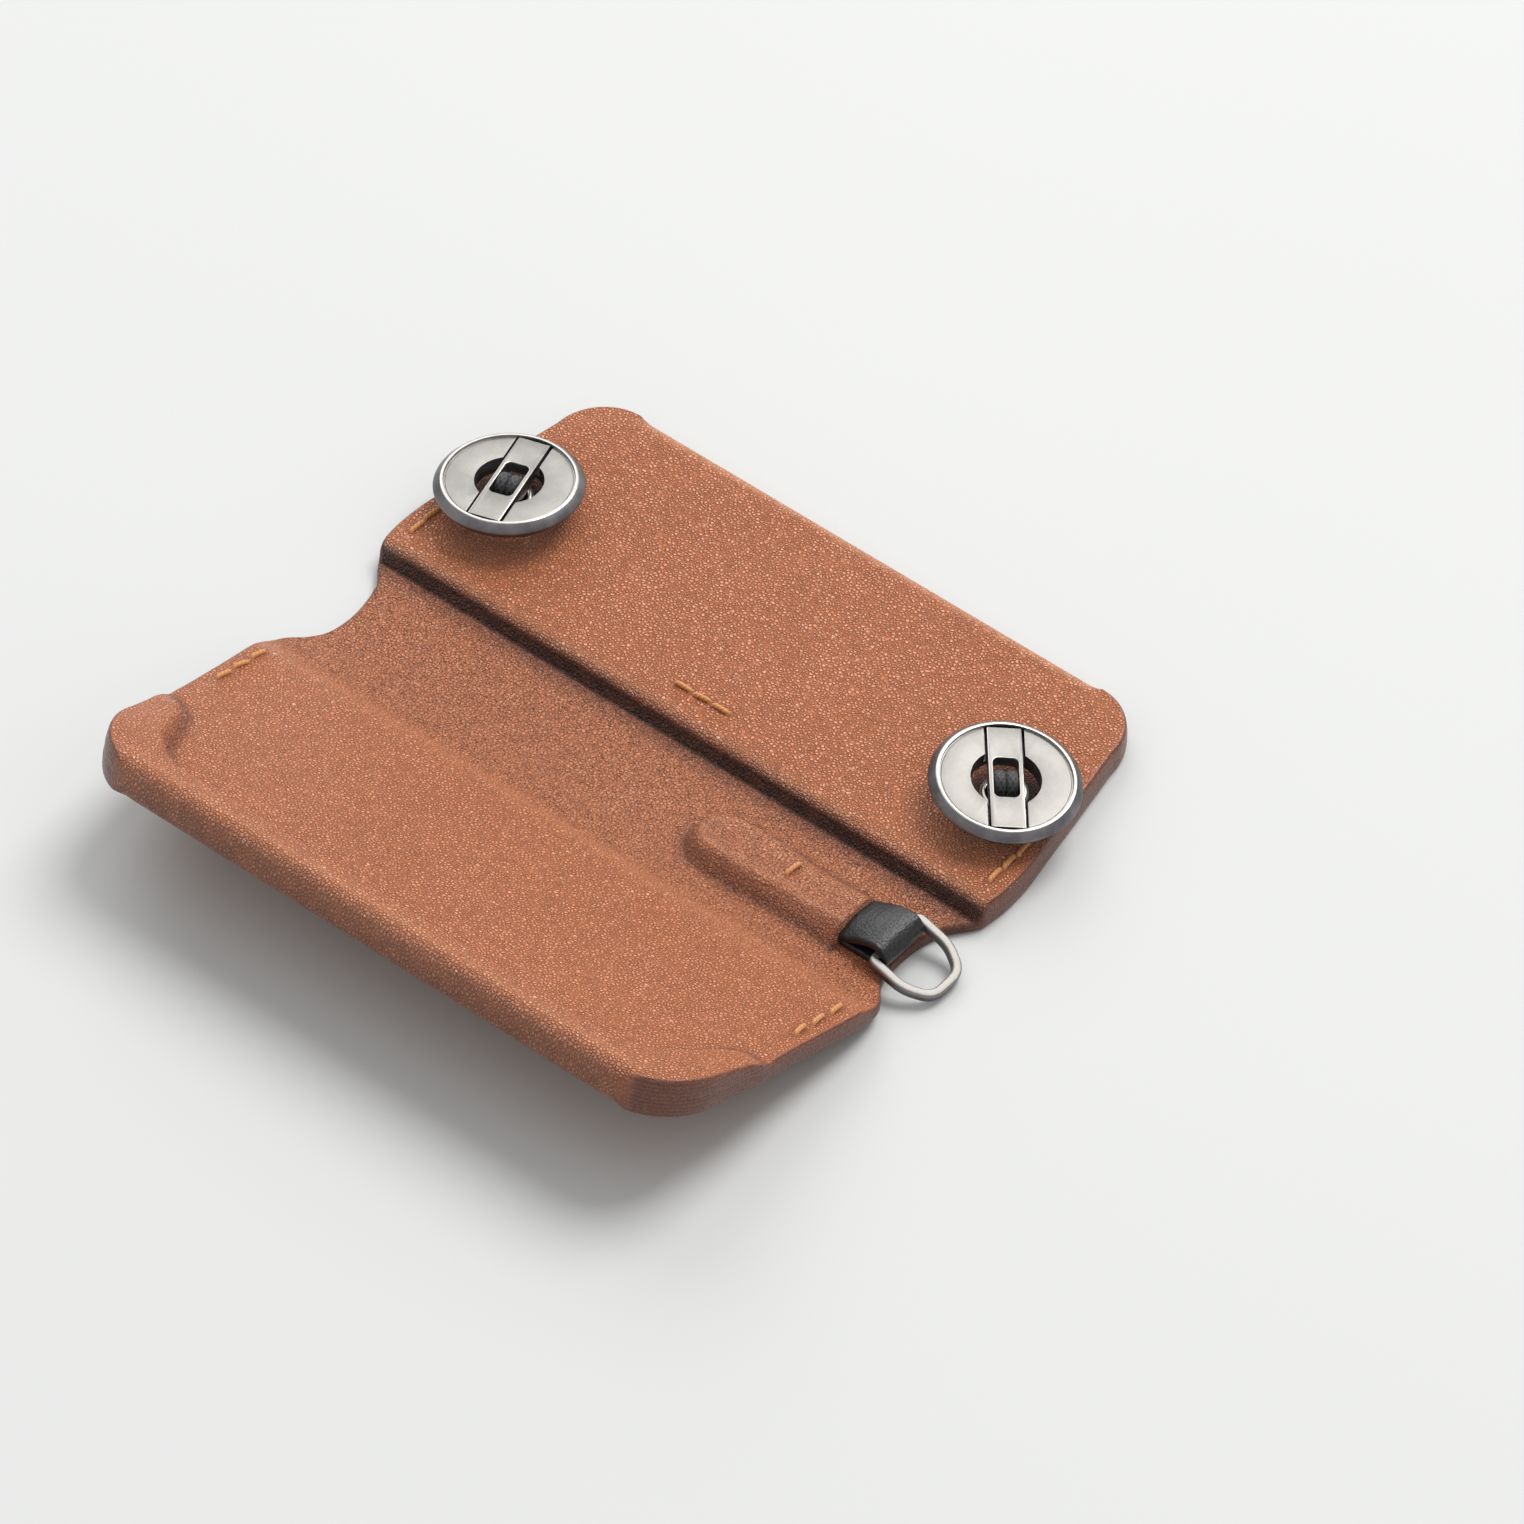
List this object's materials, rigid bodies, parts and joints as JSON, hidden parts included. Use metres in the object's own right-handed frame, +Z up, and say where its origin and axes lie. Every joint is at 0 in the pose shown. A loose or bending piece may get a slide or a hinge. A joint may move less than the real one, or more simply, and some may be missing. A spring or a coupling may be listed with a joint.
{
  "type": "key organiser",
  "caption": "Moulded leather folding key cover with round discs and toggle bars that hold keys on short posts, a strap with a D-ring and a magnetic flap.",
  "frame": {"origin": "on the surface the cover lies on, at mid-length of the step between the back panel and the spine", "axes": "+X along the length towards the D-ring, +Y across the back panel to its far edge, +Z up"},
  "size_m": [0.1053, 0.1007, 0.0191],
  "materials": {
    "tan_leather": "fine-grained matt full-grain leather",
    "black_leather": "smooth matt leather",
    "satin_metal": "satin nickel, darker on the sides",
    "keeper_steel": "plain strip",
    "magnet": "plated",
    "stiffener": "matt",
    "thread": "waxed thread",
    "elastic": "braided"
  },
  "bodies": {
    "back": {"back_outer_leather": "tan_leather", "back_inner_leather": "tan_leather", "back_stiffener": "stiffener", "back_keeper": "keeper_steel", "post_left": "satin_metal", "post_right": "satin_metal", "back_stitches": "thread"},
    "loop_left": {"ferrule_left": "satin_metal", "elastic_left": "elastic"},
    "loop_right": {"ferrule_right": "satin_metal", "elastic_right": "elastic"},
    "disc_left": {"disc_left": "satin_metal"},
    "disc_right": {"disc_right": "satin_metal"},
    "toggle_left": {"toggle_left": "satin_metal", "toggle_pin_left": "satin_metal"},
    "toggle_right": {"toggle_right": "satin_metal", "toggle_pin_right": "satin_metal"},
    "spine": {"spine_outer_leather": "tan_leather", "spine_inner_leather": "tan_leather", "ring_strap": "black_leather", "strap_stitch": "thread"},
    "ring": {"d_ring": "satin_metal"},
    "flap": {"flap_outer_leather": "tan_leather", "flap_inner_leather": "tan_leather", "flap_ridge": "tan_leather", "flap_stiffener": "stiffener", "flap_magnets": "magnet", "flap_stitches": "thread"}
  },
  "joints": [
    {"name": "spine_fold", "type": "hinge", "parent": "back", "child": "spine", "pos_m": [0, -0.001, 0.002], "axis": [-1, 0, 0], "range_deg": [0, 88]},
    {"name": "flap_fold", "type": "hinge", "parent": "spine", "child": "flap", "pos_m": [0, -0.0215, 0.0035], "axis": [-1, 0, 0], "range_deg": [-17, 92]},
    {"name": "ring_swing", "type": "hinge", "parent": "spine", "child": "ring", "pos_m": [0.045, -0.0112, 0.004], "axis": [0, 1, 0], "range_deg": [-150, 5]},
    {"name": "spin_left", "type": "hinge", "parent": "back", "child": "loop_left", "pos_m": [-0.0412, 0.0155, 0.002], "axis": [0, 0, 1], "range_deg": [-360, 360]},
    {"name": "pull_left", "type": "slide", "parent": "loop_left", "child": "disc_left", "axis": [0, 0, -1], "range_m": [-0.008, 0], "deforming": ["elastic_left"]},
    {"name": "flip_left", "type": "hinge", "parent": "disc_left", "child": "toggle_left", "pos_m": [-0.03902, 0.00754, 0.01004], "axis": [-0.9601, -0.277, -0.0374], "range_deg": [-75, 0]},
    {"name": "spin_right", "type": "hinge", "parent": "back", "child": "loop_right", "pos_m": [0.0412, 0.0155, 0.002], "axis": [0, 0, 1], "range_deg": [-360, 360]},
    {"name": "pull_right", "type": "slide", "parent": "loop_right", "child": "disc_right", "axis": [0, 0, -1], "range_m": [-0.008, 0], "deforming": ["elastic_right"]},
    {"name": "flip_right", "type": "hinge", "parent": "disc_right", "child": "toggle_right", "pos_m": [0.04703, 0.00915, 0.00881], "axis": [-0.7483, -0.6545, 0.1086], "range_deg": [-75, 0]}
  ]
}
